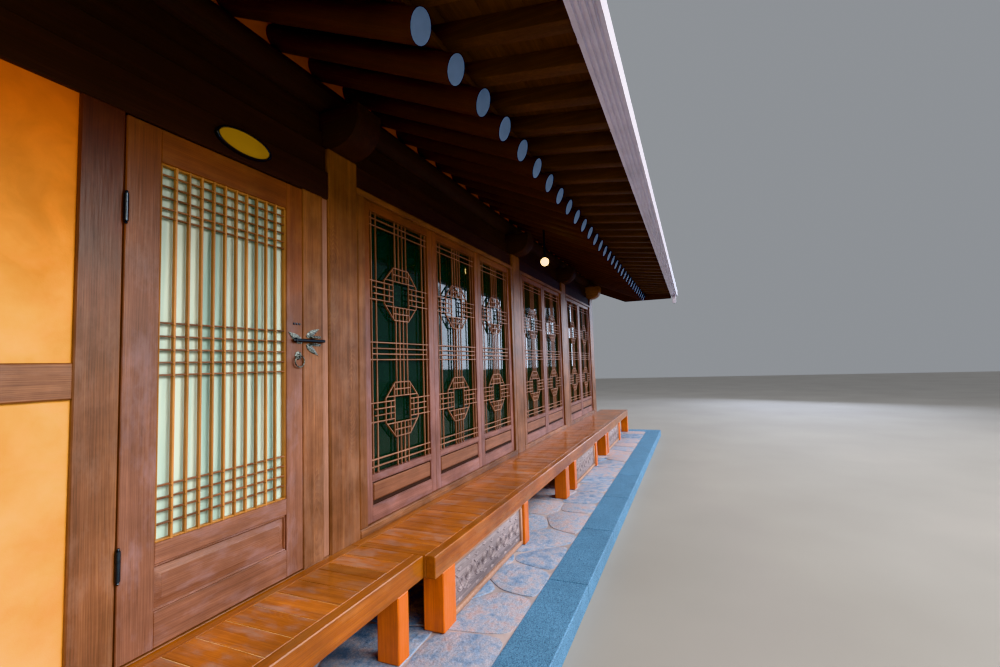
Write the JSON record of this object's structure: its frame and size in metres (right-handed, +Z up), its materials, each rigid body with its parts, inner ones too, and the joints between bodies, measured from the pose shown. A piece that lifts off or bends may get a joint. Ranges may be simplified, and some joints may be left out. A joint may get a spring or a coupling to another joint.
{
  "type": "hanok house",
  "caption": "Korean timber house with a tiled gable roof, plastered walls, lattice windows, a hinged lattice door and a narrow veranda on a stone platform.",
  "frame": {"origin": "on the ground under the middle of the house, on the underside of the stone platform", "axes": "+X along the front from the door end to the far end, +Y from the front into the house, +Z up"},
  "size_m": [11.8, 7.665, 5.21],
  "materials": {
    "granite": "sawn and flamed granite",
    "flagstone": "split flagstones with mortar joints",
    "masonry": "rubble and lime mortar",
    "dark_timber": "old pine, dark stained",
    "brown_timber": "pine, brown oil stain",
    "lattice_timber": "pine lattice, light brown stain",
    "deck_timber": "varnished pine boards",
    "plaster": "troweled clay and lime plaster",
    "roof_tile": "fired grey clay tile",
    "panel_timber": "carved, weathered wood",
    "gutter_sheet": "light coated sheet",
    "black_iron": "blackened iron",
    "glass_pane": "clear float glass",
    "lamp_glass": "warm globe bulb"
  },
  "bodies": {
    "house": {"stone_platform": "flagstone", "kerb_stones": "granite", "floor_base": "masonry", "front_post_1": "brown_timber", "front_post_2": "brown_timber", "front_post_3": "brown_timber", "front_post_4": "brown_timber", "front_post_5": "brown_timber", "back_timber_frame": "brown_timber", "back_wall": "plaster", "left_gable_frame": "brown_timber", "left_wall": "plaster", "right_gable_frame": "brown_timber", "right_wall": "plaster", "back_sash_1": "lattice_timber", "back_sash_2": "lattice_timber", "back_sash_3": "lattice_timber", "front_bay_frame_1": "brown_timber", "front_bay_frame_2": "brown_timber", "front_bay_frame_3": "brown_timber", "front_bay_frame_4": "brown_timber", "front_plaster": "plaster", "window_leaves_1": "lattice_timber", "window_leaves_2": "lattice_timber", "window_leaves_3": "lattice_timber", "window_glass_1": "glass_pane", "window_glass_2": "glass_pane", "window_glass_3": "glass_pane", "hinge_frame_lower": "black_iron", "hinge_frame_upper": "black_iron", "veranda_frame_1": "deck_timber", "veranda_frame_2": "deck_timber", "veranda_boards_1": "deck_timber", "veranda_boards_2": "deck_timber", "veranda_panel_1": "panel_timber", "veranda_panel_2": "panel_timber", "veranda_panel_3": "panel_timber", "crossbeam_1": "dark_timber", "crossbeam_2": "dark_timber", "crossbeam_3": "dark_timber", "front_purlin": "dark_timber", "back_purlin": "dark_timber", "ridge_purlin": "dark_timber", "eaves_front": "dark_timber", "eaves_back": "dark_timber", "roof_front": "roof_tile", "roof_back": "roof_tile", "roof_ridge": "roof_tile", "left_bargeboard": "dark_timber", "right_bargeboard": "dark_timber", "gutter": "gutter_sheet", "sign_board": "lattice_timber", "lamp": "lamp_glass"},
    "door": {"door_leaf": "brown_timber", "door_glass": "glass_pane", "hinge_leaf_lower": "black_iron", "hinge_leaf_upper": "black_iron", "door_handle": "black_iron", "door_latch": "black_iron"}
  },
  "joints": [
    {"name": "door_hinge", "type": "hinge", "parent": "house", "child": "door", "pos_m": [-3.6515, -2.234, 0.868], "axis": [0, 0, -1], "range_deg": [0, 110]}
  ]
}
